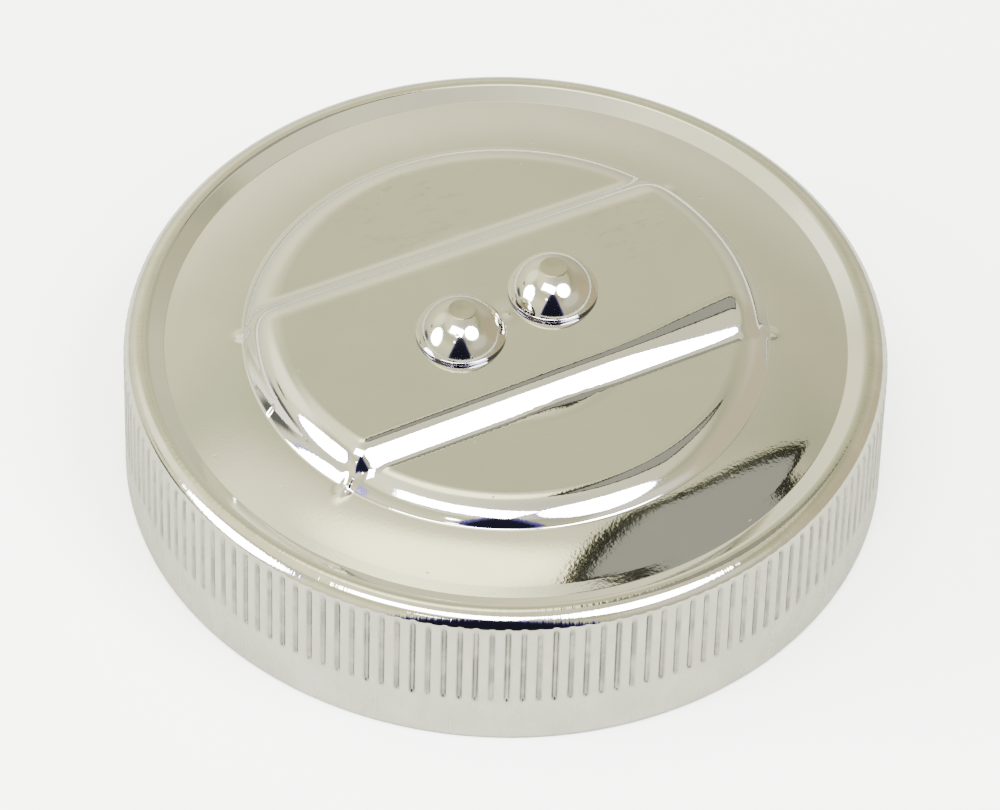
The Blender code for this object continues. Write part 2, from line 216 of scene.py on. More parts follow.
class Wiring:
    # short ways to add a node and join it, so that each recipe below reads in order
    def __init__(self, tree):
        self.tree = tree

    def join(self, source, socket):
        if isinstance(source, (int, float, tuple)):
            socket.default_value = source
        else:
            self.tree.links.new(source, socket)

    def math(self, operation, a, b=0.0, clamp=False):
        node = self.tree.nodes.new("ShaderNodeMath")
        node.operation = operation
        node.use_clamp = clamp
        self.join(a, node.inputs[0])
        self.join(b, node.inputs[1])
        return node.outputs[0]

    def times(self, a, b, clamp=False):
        return self.math("MULTIPLY", a, b, clamp)

    def between(self, value, low, high, toLow=0.0, toHigh=1.0):
        node = self.tree.nodes.new("ShaderNodeMapRange")
        node.interpolation_type = "SMOOTHSTEP"
        for socket, given in zip(node.inputs[:5], (value, low, high, toLow, toHigh)):
            self.join(given, socket)
        return node.outputs[0]

    def noise(self, vector, scale, detail=2.0, roughness=0.5):
        node = self.tree.nodes.new("ShaderNodeTexNoise")
        self.join(vector, node.inputs["Vector"])
        self.join(scale, node.inputs["Scale"])
        node.inputs["Detail"].default_value = detail
        node.inputs["Roughness"].default_value = roughness
        return node.outputs["Fac"]

    def stretch(self, vector, scale):
        node = self.tree.nodes.new("ShaderNodeMapping")
        self.join(vector, node.inputs["Vector"])
        node.inputs["Scale"].default_value = scale
        return node.outputs[0]

    def parts(self, vector):
        node = self.tree.nodes.new("ShaderNodeSeparateXYZ")
        self.join(vector, node.inputs[0])
        return node.outputs

    def mix(self, factor, a, b, mode="MIX"):
        node = self.tree.nodes.new("ShaderNodeMix")
        node.data_type = "RGBA"
        node.blend_type = mode
        self.join(factor, node.inputs[0])
        self.join(a, node.inputs[6])
        self.join(b, node.inputs[7])
        return node.outputs[2]


def startMaterial(name, color, roughness, metallic):
    # a Principled material; values that stay the same all over are set on its own sockets
    material = bpy.data.materials.new(name)
    material.use_nodes = True
    tree = material.node_tree
    shader = tree.nodes["Principled BSDF"]
    shader.inputs["Base Color"].default_value = (*color, 1)
    shader.inputs["Roughness"].default_value = roughness
    shader.inputs["Metallic"].default_value = metallic
    place = tree.nodes.new("ShaderNodeTexCoord").outputs["Object"]
    return material, tree, shader, Wiring(tree), place


def useGroup(tree, group, values):
    # a node for the group, with each named input joined to a socket or set to a value
    node = tree.nodes.new("ShaderNodeGroup")
    node.node_tree = group
    for label, value in values.items():
        Wiring(tree).join(value, node.inputs[label])
    return node


def finish(tree, shader, tone, rough, height, distance):
    # colour and roughness go to the shader, and height times distance, in metres, tilts its normal
    tree.links.new(tone, shader.inputs["Base Color"])
    tree.links.new(rough, shader.inputs["Roughness"])
    bump = tree.nodes.new("ShaderNodeBump")
    bump.inputs["Strength"].default_value = 1.0
    bump.inputs["Distance"].default_value = distance
    tree.links.new(height, bump.inputs["Height"])
    tree.links.new(bump.outputs["Normal"], shader.inputs["Normal"])


def makePittingGroup():
    # pits: round cells whose middle is deeper than the threshold; haze: slow noise; grain: fast noise
    group, start, end = newGroup(
        "platingMarks",
        (("Place", "NodeSocketVector", None), ("Pits Per Metre", "NodeSocketFloat", 900.0),
         ("Pit Share", "NodeSocketFloat", 0.1), ("Grain Per Metre", "NodeSocketFloat", 3000.0)),
        (("Pits", "NodeSocketFloat"), ("Haze", "NodeSocketFloat"), ("Height", "NodeSocketFloat")))
    wire = Wiring(group)
    cells = group.nodes.new("ShaderNodeTexVoronoi")
    cells.inputs["Randomness"].default_value = 1.0
    group.links.new(start.outputs["Place"], cells.inputs["Vector"])
    group.links.new(start.outputs["Pits Per Metre"], cells.inputs["Scale"])
    pit = wire.between(cells.outputs["Distance"], 0.06, 0.22, 1.0, 0.0)
    chosen = wire.math("LESS_THAN", wire.math("FRACT", wire.times(cells.outputs["Color"], 7.31)),
                       start.outputs["Pit Share"])
    pits = wire.times(pit, chosen)
    haze = wire.noise(start.outputs["Place"], 90.0, 3.0, 0.6)
    grain = wire.noise(start.outputs["Place"], start.outputs["Grain Per Metre"])
    height = wire.math("SUBTRACT", wire.times(grain, 0.25), pits)
    group.links.new(pits, end.inputs["Pits"])
    group.links.new(haze, end.inputs["Haze"])
    group.links.new(height, end.inputs["Height"])
    return group


platingMarks = makePittingGroup()


def patchMask(wire, place, centre, radius, soft=0.5):
    # 1 inside a ball round centre, falling to 0 at its edge
    node = wire.tree.nodes.new("ShaderNodeVectorMath")
    node.operation = "DISTANCE"
    wire.tree.links.new(place, node.inputs[0])
    node.inputs[1].default_value = centre
    return wire.between(node.outputs["Value"], radius * soft, radius, 1.0, 0.0)


chromeFace = {
    "color": (0.86, 0.86, 0.85), "roughness": 0.045, "pitDepth": 0.000012,
    "hazeTones": ((0.84, 0.84, 0.83, 1), (0.88, 0.88, 0.87, 1)),
    "smears": (((0.0165, 0.0065), 0.0075), ((-0.003, 0.0205), 0.011)),      # (x, y) and radius, in metres
    "smearTone": (0.50, 0.43, 0.34, 1), "smearShare": 0.45, "smearRoughness": 0.18,
}


def chromeFaceMaterial():
    # bright plate over pressed steel: grain, sparse pits and two brownish smears on the boss
    material, tree, shader, wire, place = startMaterial("brightPlate", chromeFace["color"],
                                                        chromeFace["roughness"], 1.0)
    marks = useGroup(tree, platingMarks, {"Place": place, "Pits Per Metre": 900.0, "Pit Share": 0.04,
                                          "Grain Per Metre": 2600.0})
    smear = None
    for centre, radius in chromeFace["smears"]:
        mask = patchMask(wire, place, (*centre, barTop * mm), radius, 0.2)
        smear = mask if smear is None else wire.math("ADD", smear, mask, True)
    streaks = wire.noise(wire.stretch(place, (1.0, 2.6, 1.0)), 420.0, 4.0, 0.7)
    smear = wire.times(smear, wire.between(streaks, 0.52, 0.72))
    tone = wire.mix(wire.between(marks.outputs["Haze"], 0.3, 0.7), *chromeFace["hazeTones"])
    tone = wire.mix(wire.times(smear, chromeFace["smearShare"]), tone, chromeFace["smearTone"])
    rough = wire.between(marks.outputs["Haze"], 0.3, 0.8, 0.035, 0.065)
    rough = wire.math("ADD", rough, wire.times(smear, chromeFace["smearRoughness"]))
    finish(tree, shader, tone, rough, marks.outputs["Height"], chromeFace["pitDepth"])
    return material


chromeSkirt = {
    "color": (0.80, 0.80, 0.77), "roughness": 0.2, "streakDepth": 0.00002,
    "patchTones": ((0.76, 0.76, 0.70, 1), (0.85, 0.85, 0.79, 1)),
    "streakTone": (0.60, 0.61, 0.62, 1), "streakShare": 0.22,
    "flankShadeTone": (0.24, 0.24, 0.25, 1), "flankShade": 2.1,
    "satinFade": (0.0145, 0.0172),           # heights in metres where the satin starts and stops to fade
}


def chromeSkirtMaterial():
    # duller plate with fine upright streaks: noise over the angle round the skirt, drawn out upward,
    # and painted shade on the flute flanks, by share * (1.25 - share)
    material, tree, shader, wire, place = startMaterial("satinPlate", chromeSkirt["color"],
                                                        chromeSkirt["roughness"], 1.0)
    x, y, z = wire.parts(place)
    around = wire.times(wire.math("ARCTAN2", y, x), capRadius * mm)
    join = tree.nodes.new("ShaderNodeCombineXYZ")
    tree.links.new(around, join.inputs[0])
    tree.links.new(wire.times(z, 0.06), join.inputs[1])
    streak = wire.noise(join.outputs[0], 1800.0, 3.0, 0.6)
    patch = wire.noise(place, 260.0, 3.0, 0.6)
    lower = wire.between(z, *chromeSkirt["satinFade"], 1.0, 0.0)
    rough = wire.times(lower, wire.between(streak, 0.3, 0.75, 0.12, 0.26))
    rough = wire.math("ADD", rough, 0.045)
    tone = wire.mix(wire.between(patch, 0.35, 0.7), *chromeSkirt["patchTones"])
    streaked = wire.times(wire.between(streak, 0.45, 0.8), chromeSkirt["streakShare"])
    tone = wire.mix(streaked, tone, chromeSkirt["streakTone"])
    # painted shade: the flanks of each flute are coloured darker
    share = tree.nodes.new("ShaderNodeAttribute")
    share.attribute_name = "fluteShare"
    flank = wire.times(share.outputs["Fac"], wire.math("SUBTRACT", 1.25, share.outputs["Fac"]))
    flank = wire.times(flank, wire.between(patch, 0.3, 0.62, 0.35, 1.0))
    shade = wire.times(flank, chromeSkirt["flankShade"], True)
    tone = wire.mix(shade, tone, chromeSkirt["flankShadeTone"])
    height = wire.math("ADD", streak, wire.times(patch, 0.5))
    finish(tree, shader, tone, rough, height, chromeSkirt["streakDepth"])
    return material


rivet = {
    "radius": 4.72, "brim": 0.42, "sphere": 4.95, "sunk": 1.6, "shank": 2.5, "columns": 144,
    "tail": 4.0, "tailHeight": 1.2, "shankFoot": 1.3,
    "crownBelow": 0.05, "crownRadius": 1.3, "crownSlope": 0.16, "crownDish": 0.05, "crownBlend": 0.05,
    "crownShift": {"left": 0.28, "right": 0.0},
}
chromeRivet = {
    "color": (0.84, 0.84, 0.82), "roughness": 0.05, "pitDepth": 0.00002,
    "hazeTones": ((0.80, 0.79, 0.73, 1), (0.66, 0.65, 0.59, 1)),
    "pitTone": (0.30, 0.27, 0.24, 1), "brimShadeTone": (0.10, 0.09, 0.13, 1),
}


def chromeRivetMaterial():
    # rumbled plate: coarser pits than the cover with dark specks in them, and painted shade on the upright
    # brim
    material, tree, shader, wire, place = startMaterial("rivetPlate", chromeRivet["color"],
                                                        chromeRivet["roughness"], 1.0)
    marks = useGroup(tree, platingMarks, {"Place": place, "Pits Per Metre": 1100.0, "Pit Share": 0.12,
                                          "Grain Per Metre": 1500.0})
    tone = wire.mix(wire.between(marks.outputs["Haze"], 0.35, 0.65), *chromeRivet["hazeTones"])
    tone = wire.mix(marks.outputs["Pits"], tone, chromeRivet["pitTone"])
    z = wire.parts(place)[2]
    brimTop = (barTop + rivet["brim"]) * mm
    # painted shade and dark reflection: the brim's upright side, from the bar's top to just under the brim's
    # top, is coloured dark
    brimShade = wire.between(z, brimTop - 0.00012, brimTop - 0.00002, 1.0, 0.0)
    brimFoot = wire.between(z, (barTop - 0.3) * mm, barTop * mm)
    tone = wire.mix(wire.times(brimShade, brimFoot), tone, chromeRivet["brimShadeTone"])
    rough = wire.between(marks.outputs["Haze"], 0.3, 0.7, 0.04, 0.09)
    finish(tree, shader, tone, rough, marks.outputs["Height"], chromeRivet["pitDepth"])
    return material


def dullMetalMaterial(name, color, dark, roughness, grainScale, spotScale):
    # plated or plain metal inside the cap: rolled grain along X, blotches and rougher spots
    material, tree, shader, wire, place = startMaterial(name, color, roughness, 1.0)
    grain = wire.noise(wire.stretch(place, (0.15, 1.0, 1.0)), grainScale, 3.0, 0.6)
    spots = wire.noise(place, spotScale, 4.0, 0.65)
    tone = wire.mix(wire.between(spots, 0.35, 0.7), (*color, 1), (*dark, 1))
    rough = wire.between(spots, 0.3, 0.7, roughness * 0.75, roughness * 1.2)
    rough = wire.math("ADD", rough, wire.times(grain, 0.08))
    finish(tree, shader, tone, rough, wire.math("ADD", grain, wire.times(spots, 0.6)), 0.00003)
    return material


def rubberMaterial():
    # moulded black rubber: fine matt grain with a grey dusty bloom
    material, tree, shader, wire, place = startMaterial("sealRubber", (0.022, 0.022, 0.022), 0.7, 0.0)
    grain = wire.noise(place, 3200.0, 3.0, 0.6)
    bloom = wire.noise(place, 220.0, 4.0, 0.6)
    tone = wire.mix(wire.between(bloom, 0.45, 0.8), (0.018, 0.018, 0.018, 1), (0.06, 0.058, 0.055, 1))
    finish(tree, shader, tone, wire.between(bloom, 0.3, 0.8, 0.55, 0.85), grain, 0.00003)
    return material


facePlate = chromeFaceMaterial()
skirtPlate = chromeSkirtMaterial()
rivetPlate = chromeRivetMaterial()
zincSteel = dullMetalMaterial("zincSteel", (0.62, 0.62, 0.60), (0.50, 0.50, 0.47), 0.34, 1400.0, 180.0)
springSteel = dullMetalMaterial("springSteel", (0.40, 0.40, 0.41), (0.28, 0.28, 0.29), 0.30, 1600.0, 240.0)
brass = dullMetalMaterial("turnedBrass", (0.72, 0.55, 0.27), (0.55, 0.40, 0.19), 0.28, 1500.0, 260.0)
rubber = rubberMaterial()
print("materials made")

# the pressed cover
cover = {
    "sheet": 0.8,
    "seamRadius": 37.9,          # where the face piece meets the skirt piece, on the rim's crown
    "rimTop": 17.8,
    "edgeFillet": 2.05,
    "rimInner": (37.5, 1.2),
    "groove": (35.75, 16.98, 0.15),
    "panEdge": (34.5, 17.25, 0.6),
    "bossFoot": (27.55, 18.15),
    "panCrown": 0.127,
    "plateau": 19.95,
    "plateauEdge": (23.8, 4.75, 1.28),
    "barEnd": (23.3, 3.6, 1.75),
    "nearWall": {"corner": 10.43, "radius": 3.3, "slope": 0.78, "toe": 0.43},
    "farWall": {"corner": 10.39, "radius": 4.9, "slope": 0.65, "toe": 0.5},
    "nearTurn": 0.02,            # how far the near wall leans in, per unit along the bar
    "nearSwell": 5.5,            # growth of its rounding towards the right end
    "nearSwellSpan": (6, 25),
    "cornerPower": 1.6,
    "crease": 0.15,
    "pinches": ((155.5, 0.7, 0.3), (-24.5, 0.7, 0.3), (207.0, 1.1, 0.4), (25.0, 0.6, 0.12)),
    "pinchWidth": 0.55,
    "faceColumns": 400,
}
lineStart = 26.0                 # radius where the cover's outline goes over from radius to arc length
panWidth = cover["panEdge"][0] - cover["bossFoot"][0]
panSlope = (cover["bossFoot"][1] - cover["panEdge"][1]) / panWidth
topLine = roundedLine([
    (lineStart, cover["bossFoot"][1] + (cover["bossFoot"][0] - lineStart) * panSlope, 0), cover["panEdge"],
    cover["groove"], (cover["rimInner"][0], cover["rimTop"], cover["rimInner"][1]),
    (capRadius, cover["rimTop"], cover["edgeFillet"]), (capRadius, 0.0, 0)], steps=48)


def finely(line, pitch=0.01):
    # the same line with points every pitch along it, and the length at each of them
    length = np.concatenate(([0], np.cumsum(np.hypot(*np.diff(line, axis=0).T))))
    fine = np.arange(0, length[-1], pitch)
    return fine, np.stack([np.interp(fine, length, line[:, i]) for i in (0, 1)], 1)


lineLength, lineFine = finely(topLine)
seam = float(np.interp(cover["seamRadius"], lineFine[:, 0], lineLength)) + lineStart


def panLine(s):
    # (r, z) of the cover without its boss at s, where s is the radius up to lineStart and arc length beyond;
    # the pan is raised by panCrown * 4 b (1 - b), with b its share of the way from boss to groove
    outer = np.clip(s - lineStart, 0, lineLength[-1])
    r = np.where(s < lineStart, s, np.interp(outer, lineLength, lineFine[:, 0]))
    inward = topLine[0, 1] - panSlope * (s - lineStart)
    z = np.where(s < lineStart, inward, np.interp(outer, lineLength, lineFine[:, 1]))
    between = np.clip((r - cover["bossFoot"][0]) / panWidth, 0, 1)
    return r, z + cover["panCrown"] * 4 * between * (1 - between)


def wallDrop(side, wall, radius):
    # how far the bar's top has fallen at side, for a rounding whose tangents meet at the wall's corner
    flat = wall["corner"] - radius * math.tan(math.atan(wall["slope"]) / 2)
    return shoulder(side - flat, radius, wall["slope"])


def bossHeight(x, y):
    # boss = softMax(segments, bar); bar = top - (side^p + end^p)^(1/p), from its side and end drops
    r = np.hypot(x, y)
    swell = cover["nearSwell"] * ramp(x, *cover["nearSwellSpan"])
    near = wallDrop(-y + cover["nearTurn"] * x, cover["nearWall"], cover["nearWall"]["radius"] + swell)
    far = wallDrop(y, cover["farWall"], cover["farWall"]["radius"])
    side = np.where(y < 0, near, far)
    toe = np.where(y < 0, cover["nearWall"]["toe"], cover["farWall"]["toe"])
    end = shoulder(r - cover["barEnd"][0], *cover["barEnd"][1:])
    power = cover["cornerPower"]
    bar = barTop - (side ** power + end ** power) ** (1 / power)
    segments = cover["plateau"] - shoulder(r - cover["plateauEdge"][0], *cover["plateauEdge"][1:])
    return softMax(segments, bar, toe)


def pinchHeight(r, t):
    # small folds where the bar's walls run out: sum of rise * exp(-(arc / pinchWidth)^2 - (out / reach)^2),
    # with arc round the boss from the fold and out across the boss's foot
    height = 0
    for angle, reach, rise in cover["pinches"]:
        turn = (t - math.radians(angle) + math.pi) % tau - math.pi
        arc, out = turn * r / cover["pinchWidth"], (r - cover["bossFoot"][0]) / reach
        height = height + rise * np.exp(-arc ** 2 - out ** 2)
    return height


def coverFace(s, t):
    # point(s, t) = (r cos t, r sin t, softMax(pan, boss)), with r and the pan's height from panLine(s)
    r, pan = panLine(s)
    x, y = r * np.cos(t), r * np.sin(t)
    return np.stack((x, y, softMax(pan, bossHeight(x, y), cover["crease"]) + pinchHeight(r, t)), -1)


def makeCoverFace():
    # the outside is coverFace over (s, t); the inside is the same surface moved in by the sheet's thickness,
    # less sideways than down so that the tight bends don't fold over, and with fewer rows
    s = stations((0, 21.5, 50), (21.5, 28.6, 58), (28.6, 33.8, 12), (33.8, seam, 60))[:, None]
    t = (np.arange(cover["faceColumns"]) * tau / cover["faceColumns"])[None, :]
    outside = coverFace(s, t)
    facing = surfaceNormals(coverFace, s, t)
    facing[0] = (0, 0, 1)
    flatRows = 50
    pick = np.concatenate((np.arange(len(s) - 1, flatRows, -3), np.arange(flatRows, -1, -5)))
    inside = outside[pick] - facing[pick] * cover["sheet"] * np.array((0.6, 0.6, 1.0))
    inside[0, :, :2] = outside[-1, :, :2]
    points = np.concatenate((outside, inside))
    normals = np.concatenate((facing, -facing[pick]))
    mesh = gridMesh("coverFace", points, normals, False, True, True)
    return addPiece("coverFace", mesh, "cap", facePlate, ["cover_shell"])


flutes = {"count": 154, "columns": 8, "depth": 0.32, "width": 0.17, "phase": 0.5, "low": 5.9, "high": 16.7,
          "lowFade": 0.3, "highFade": 2.2, "highSpread": 1.2}
hem = {"edge": 0.4, "height": 2.4, "stepTop": 3.0, "stepFillet": 0.3, "wallTop": 15.4, "wallFillet": 2.0}


def fluteShare(s, t):
    # how much of a flute's depth stands at (s, t): exp(-(offset / width)^4), uneven from flute to flute
    z = panLine(s)[1]
    turn = t * flutes["count"] / tau + flutes["phase"]
    part = np.abs((turn + 0.5) % 1 - 0.5)
    groove = np.exp(-(part / flutes["width"]) ** 4)
    number = np.round(turn) % flutes["count"]
    uneven = 0.8 + 0.2 * np.sin(number * 2.4) * np.sin(number * 0.37)
    reach = ramp(z, flutes["low"] - flutes["lowFade"], flutes["low"] + flutes["lowFade"])
    fadeFrom = flutes["high"] - flutes["highFade"] + flutes["highSpread"] * uneven
    reach = reach * (1 - ramp(z, fadeFrom, flutes["high"]))
    return groove * uneven * reach


def coverSkirt(s, t):
    # point(s, t) = (R cos t, R sin t, z), R = r(s) - depth * fluteShare(s, t)
    r, z = panLine(s)
    shift = flutes["depth"] * fluteShare(s, t)
    return np.stack(((r - shift) * np.cos(t), (r - shift) * np.sin(t), z + 0 * t), -1)


def makeCoverSkirt():
    # the outside is coverSkirt over (s, t); hem and inner wall are a rounded outline turned about the axis
    bottom = lineLength[-1] + lineStart
    s = stations((seam, bottom - 14.0, 20), (bottom - 14.0, bottom - 7.0, 10),
                 (bottom - 7.0, bottom - 5.2, 8), (bottom - 5.2, bottom - 0.5, 4))[:, None]
    columns = flutes["count"] * flutes["columns"]
    t = (np.arange(columns) * tau / columns)[None, :]
    outside = coverSkirt(s, t)
    facing = surfaceNormals(coverSkirt, s, t)
    sheet = cover["sheet"]
    wall, fold = capRadius - sheet, capRadius - 2 * sheet
    line = roundedLine([
        (capRadius, 0.5, 0), (capRadius, 0.0, hem["edge"]), (fold, 0.0, hem["edge"]),
        (fold, hem["height"], hem["stepFillet"]), (wall, hem["stepTop"], hem["stepFillet"]),
        (wall, hem["wallTop"], hem["wallFillet"]),
        (cover["seamRadius"], cover["rimTop"] - sheet, 0)], steps=4)[1:]
    edge = circle(t[0])
    lower = np.empty((len(line), columns, 3))
    lower[..., :2] = line[:, None, :1] * edge
    lower[..., 2] = line[:, None, 1]
    slope = np.gradient(line, axis=0)
    slope /= np.linalg.norm(slope, axis=1, keepdims=True)
    lowerFacing = np.empty_like(lower)
    lowerFacing[..., :2] = -slope[:, None, 1:] * edge
    lowerFacing[..., 2] = slope[:, None, 0]
    points = np.concatenate((outside, lower))
    mesh = gridMesh("coverSkirt", points, np.concatenate((facing, lowerFacing)), True)
    share = np.concatenate((fluteShare(s, t), np.zeros((len(line), columns)))).ravel().astype(np.float32)
    mesh.attributes.new("fluteShare", "FLOAT", "POINT").data.foreach_set("value", share)
    return addPiece("coverSkirt", mesh, "cap", skirtPlate, ["cover_shell"])


makeCoverFace()
makeCoverSkirt()
print("cover made")
def makeRivet(side):
    # dome: z = brim - sunk + sqrt(R^2 - r^2), cut by a flat crown that dips by crownDish * exp(-offset^2) and
    # rises by crownSlope past crownRadius; below the brim, a rounded outline turned about the rivet's axis
    low, high = (corner / mm for corner in rivetBoxes[side])
    centre = rivetPlaces[side]
    brimTop = barTop + rivet["brim"]
    edge = math.sqrt(rivet["sphere"] ** 2 - rivet["sunk"] ** 2)
    outerRows = np.sin(np.linspace(math.asin(0.45), math.pi / 2, 30))
    r = edge * np.concatenate((np.linspace(0, 0.45, 22)[:-1], outerRows))
    radius, shank, tail = rivet["radius"], rivet["shank"], rivet["tail"]
    rest = roundedLine([
        (edge, brimTop, 0.0), (radius, brimTop - 0.02, 0.03), (radius, barTop + 0.02, 0.05),
        (shank, barTop + 0.02, 0.0), (shank, low.z + rivet["shankFoot"], 0.0),
        (tail, low.z + rivet["tailHeight"], 0.35), (tail, low.z, 0.55), (0.0, low.z, 0)])
    outline = np.concatenate((np.stack((r[:-1], 0 * r[:-1]), 1), rest))
    t = np.arange(rivet["columns"]) * tau / rivet["columns"]
    points = np.empty((len(outline), rivet["columns"], 3))
    local = outline[:, None, :1] * circle(t)
    points[..., :2] = np.array(centre[:2]) + local
    points[..., 2] = outline[:, None, 1]
    dome = local[:len(r) - 1]
    ball = brimTop - rivet["sunk"] + np.sqrt(rivet["sphere"] ** 2 - (dome ** 2).sum(-1))
    offset = np.hypot(dome[..., 0] - rivet["crownShift"][side], dome[..., 1])
    rise = rivet["crownSlope"] * np.clip(offset - rivet["crownRadius"], 0, None)
    dished = high.z - rivet["crownBelow"] + rise - rivet["crownDish"] * np.exp(-offset ** 2)
    points[:len(r) - 1, :, 2] = softMin(ball, dished, rivet["crownBlend"])
    mesh = gridMesh("rivet" + side.title(), points, None, False, True, True)
    mesh.set_sharp_from_angle(angle=math.radians(38))
    return addPiece("rivet" + side.title(), mesh, "cap", rivetPlate, ["rivet_" + side])


for side in ("left", "right"):
    makeRivet(side)
print("rivets made")


# the lock and seal stack: pieces turned about their own node's axis
def boxOf(node):
    # the two corners of a node's box, in millimetres
    return [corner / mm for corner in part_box(node)]


def ringCorners(node, fillet, bore):
    # the corners of a plain ring that fills its node's box, from the top of its outer side round to the bore
    low, high = boxOf(node)
    r = (high.x - low.x) / 2
    return [(r, high.z, fillet), (r, low.z, fillet), (bore, low.z, fillet), (bore, high.z, fillet)]


def middle(node):
    # the centre of a node's box, in millimetres
    low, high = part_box(node)
    return (low + high) / 2 / mm
def halfWidth(node):
    # half of the width of a node's box, in millimetres
    low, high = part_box(node)
    return (high.x - low.x) / 2 / mm

def boreHoles(piece, places, radius, low, high):
    # upright round holes of one radius: a capped tube for each is taken away by a Boolean, result kept
    t = np.arange(64) * tau / 64
    for x, y in places:
        ring = np.stack((x + radius * np.cos(t), y + radius * np.sin(t), 0 * t), 1)
        axis = np.array((x, y, 0))
        stops = ((0, high), (1, high), (1, low), (0, low))
        tube = np.stack([axis * (1 - share) + ring * share + np.array((0, 0, z)) for share, z in stops])
        cutter = newObject("cutter", gridMesh("cutter", tube, None, False, True, True))
        cut = piece.modifiers.new("hole", "BOOLEAN")
        cut.operation, cut.object, cut.solver = "DIFFERENCE", cutter, "EXACT"
        bpy.context.view_layer.update()
        mesh = bpy.data.meshes.new_from_object(piece.evaluated_get(bpy.context.evaluated_depsgraph_get()))
        piece.modifiers.clear()
        mesh.name = piece.name
        piece.data = mesh
        bpy.data.objects.remove(cutter)
    piece.data.shade_smooth()
    piece.data.set_sharp_from_angle(angle=math.radians(35))


stack = {"shankBore": 2.8, "sleeveTop": 3.6, "shoulder": 9.6, "grommetNeck": 4.7, "grommetTop": 0.8,
         "grommetFoot": 1.0, "retainerSheet": 0.6, "ringSeat": 23.9, "sealMargin": 1.6, "plateLip": 1.0,
         "ventHole": 1.5, "cageSheet": 0.5, "discSheet": 0.8, "discStem": 1.6}


def makeStack():
    # each rivet's washer, stepped sleeve and grommet, all turned about the rivet's axis
    for side in ("left", "right"):
        centre = rivetPlaces[side]
        washer = "tail_washer_" + side
        turnedPiece("washer" + side.title(), ringCorners(washer, 0.15, stack["shankBore"]), centre, "cap",
                    zincSteel, [washer], 72)
        low, high = (corner.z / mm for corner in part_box("sleeve_" + side))
        foot = halfWidth("sleeve_" + side)
        turnedPiece("sleeve" + side.title(), [
            (stack["sleeveTop"], high, 0.2), (stack["sleeveTop"], stack["shoulder"], 0.1),
            (foot, stack["shoulder"], 0.2), (foot, low, 0.2), (stack["shankBore"], low, 0.1),
            (stack["shankBore"], high, 0.1)], centre, "cap", zincSteel, ["sleeve_" + side], 72)
        low, high = (corner.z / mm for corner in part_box("grommet_" + side))
        flange = halfWidth("grommet_" + side)
        neck, bore = stack["grommetNeck"], stack["sleeveTop"] + clearance
        turnedPiece("grommet" + side.title(), [
            (flange, high, 0.25), (flange, high - stack["grommetTop"], 0.1),
            (neck, high - stack["grommetTop"], 0.1), (neck, low + stack["grommetFoot"], 0.1),
            (flange, low + stack["grommetFoot"], 0.1), (flange, low, 0.3), (bore, low, 0.2),
            (bore, high, 0.2)], centre, "seal", rubber, ["grommet_" + side], 72)


makeStack()


def makeSeal():
    # the plate with its sleeve and vent holes, the rubber ring and the angle ring, about the cap's axis
    axis = (0, 0)
    low, high = boxOf("seal_plate")
    outer, sheet = high.x, high.z - (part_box("seal_ring")[1].z / mm + clearance)
    lip = outer - stack["plateLip"]
    plate = turnedPiece("sealPlate", [
        (0, high.z, 0), (outer, high.z, 0.9), (outer, low.z, 0.2), (lip, low.z, 0.2),
        (lip, high.z - sheet, 0.3), (0, high.z - sheet, 0)], axis, "seal",
        zincSteel, ["seal_plate"], 192, False)
    sleeveHoles = [tuple(place[:2]) for place in rivetPlaces.values()]
    boreHoles(plate, sleeveHoles, stack["grommetNeck"] + clearance, high.z - 2, high.z + 1)
    boreHoles(plate, [tuple(middle("vent_cage")[:2])], stack["ventHole"], high.z - 2, high.z + 1)
    low, high = boxOf("seal_ring")
    inner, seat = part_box("seal_retainer")[0].x / -mm + clearance, stack["ringSeat"]
    step = low.z + stack["sealMargin"]
    turnedPiece("sealRing", [
        (high.x, high.z, 0.3), (high.x, low.z, 0.5), (inner, low.z, 0.4), (inner, step, 0.2),
        (seat, step, 0.2), (seat, high.z, 0.2)], axis, "seal", rubber, ["seal_ring"], 256)
    low, high = boxOf("seal_retainer")
    sheet, outside = stack["retainerSheet"], seat - clearance
    turnedPiece("sealRetainer", [
        (outside, high.z, 0.15), (outside, low.z + sheet, 0.3), (high.x, low.z + sheet, 0.15),
        (high.x, low.z, 0.2), (outside - sheet, low.z, 0.5), (outside - sheet, high.z, 0.15)],
        axis, "seal", zincSteel, ["seal_retainer"], 256)


makeSeal()


def makeBreather():
    # cage, disc and seal of the breather, turned about the cage's axis
    centre = middle("vent_cage")
    low, high = boxOf("vent_cage")
    outer, sheet = (high.x - low.x) / 2, stack["cageSheet"]
    floor, wall = low.z + sheet, outer - sheet
    turnedPiece("ventCage", [
        (outer, high.z, 0.1), (outer, low.z, 0.5), (stack["ventHole"], low.z, 0.1),
        (stack["ventHole"], floor, 0.1), (wall, floor, 0.2), (wall, high.z, 0.1)],
        centre, "seal", brass, ["vent_cage"], 96)
    low, high = boxOf("vent_disc")
    outer, under, stem = (high.x - low.x) / 2, high.z - stack["discSheet"], stack["discStem"]
    turnedPiece("ventDisc", [
        (0, high.z, 0), (outer, high.z, 0.15), (outer, under, 0.15), (stem, under, 0.1),
        (stem, low.z, 0.2), (0, low.z, 0)], centre, "vent", brass, ["vent_disc"], 96, False)
    low, high = boxOf("vent_seal")
    outer = (high.x - low.x) / 2
    turnedPiece("ventSeal", [
        (0, high.z, 0), (outer, high.z, 0.15), (outer, low.z, 0.15), (0, low.z, 0)],
        centre, "vent", rubber, ["vent_seal"], 96, False)


makeBreather()
print("seal and breather made")


